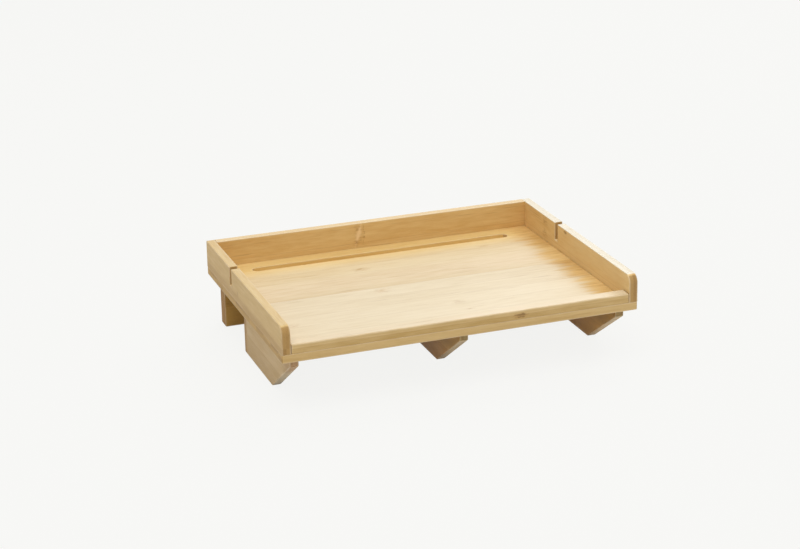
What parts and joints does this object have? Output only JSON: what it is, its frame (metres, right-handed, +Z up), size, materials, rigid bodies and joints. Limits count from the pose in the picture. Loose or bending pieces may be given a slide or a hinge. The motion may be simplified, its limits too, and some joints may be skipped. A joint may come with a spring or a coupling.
{
  "type": "clip-on bedside shelf",
  "caption": "Bamboo tray with raised rails, cable slits and a tablet groove, clipped to a bed rail by brackets and a sliding rear jaw on two slotted arms.",
  "frame": {"origin": "under the middle of the tray, on the plane that the brackets and the rear jaw stand on", "axes": "+Z up, +X to the shelf's right, +Y to its back, where the bed rail goes"},
  "size_m": [0.33, 0.24, 0.08],
  "materials": {
    "bamboo_tray": "clear satin lacquer",
    "bamboo_rail": "clear satin lacquer",
    "bamboo_bracket": "clear satin lacquer",
    "knob_plastic": "fine moulded texture",
    "zinc_steel": "zinc plated",
    "brass_insert": "plain"
  },
  "bodies": {
    "tray": {"base_board": "bamboo_tray", "left_side_rail": "bamboo_rail", "right_side_rail": "bamboo_rail", "back_rail": "bamboo_rail", "front_lip": "bamboo_rail", "left_gusset": "bamboo_bracket", "middle_gusset": "bamboo_bracket", "right_gusset": "bamboo_bracket", "fixed_jaw_board": "bamboo_bracket", "left_insert": "brass_insert", "right_insert": "brass_insert", "left_rail_screw_1": "zinc_steel", "left_rail_screw_2": "zinc_steel", "left_rail_screw_3": "zinc_steel", "right_rail_screw_1": "zinc_steel", "right_rail_screw_2": "zinc_steel", "right_rail_screw_3": "zinc_steel", "back_rail_screw_1": "zinc_steel", "back_rail_screw_2": "zinc_steel", "back_rail_screw_3": "zinc_steel", "back_rail_screw_4": "zinc_steel", "lip_screw_1": "zinc_steel", "lip_screw_2": "zinc_steel", "lip_screw_3": "zinc_steel", "lip_screw_4": "zinc_steel", "left_jaw_screw_lower": "zinc_steel", "left_jaw_screw_upper": "zinc_steel", "middle_jaw_screw_lower": "zinc_steel", "middle_jaw_screw_upper": "zinc_steel", "right_jaw_screw_lower": "zinc_steel", "right_jaw_screw_upper": "zinc_steel"},
    "rear_clamp": {"rear_jaw_board": "bamboo_bracket", "left_slide_arm": "bamboo_bracket", "right_slide_arm": "bamboo_bracket", "left_arm_screw_outer": "zinc_steel", "left_arm_screw_inner": "zinc_steel", "right_arm_screw_outer": "zinc_steel", "right_arm_screw_inner": "zinc_steel"},
    "left_washer_ring": {"left_washer": "zinc_steel"},
    "left_clamp_knob": {"left_knob": "knob_plastic", "left_knob_stud": "zinc_steel"},
    "right_washer_ring": {"right_washer": "zinc_steel"},
    "right_clamp_knob": {"right_knob": "knob_plastic", "right_knob_stud": "zinc_steel"}
  },
  "joints": [
    {"name": "jaw_slide", "type": "slide", "parent": "tray", "child": "rear_clamp", "axis": [0, -1, 0], "range_m": [0, 0.06]},
    {"name": "left_knob_drop", "type": "slide", "parent": "tray", "child": "left_washer_ring", "axis": [0, 0, -1], "range_m": [0, 0.002]},
    {"name": "left_knob_turn", "type": "hinge", "parent": "left_washer_ring", "child": "left_clamp_knob", "pos_m": [-0.078, 0.004, 0.03], "axis": [0, 0, -1], "range_deg": [0, 720]},
    {"name": "right_knob_drop", "type": "slide", "parent": "tray", "child": "right_washer_ring", "axis": [0, 0, -1], "range_m": [0, 0.002]},
    {"name": "right_knob_turn", "type": "hinge", "parent": "right_washer_ring", "child": "right_clamp_knob", "pos_m": [0.078, 0.004, 0.03], "axis": [0, 0, -1], "range_deg": [0, 720]}
  ],
  "couplings": [
    {"joint": "left_knob_turn", "follows": "left_knob_drop", "rad_per_m": 6283.2},
    {"joint": "right_knob_turn", "follows": "right_knob_drop", "rad_per_m": 6283.2}
  ]
}
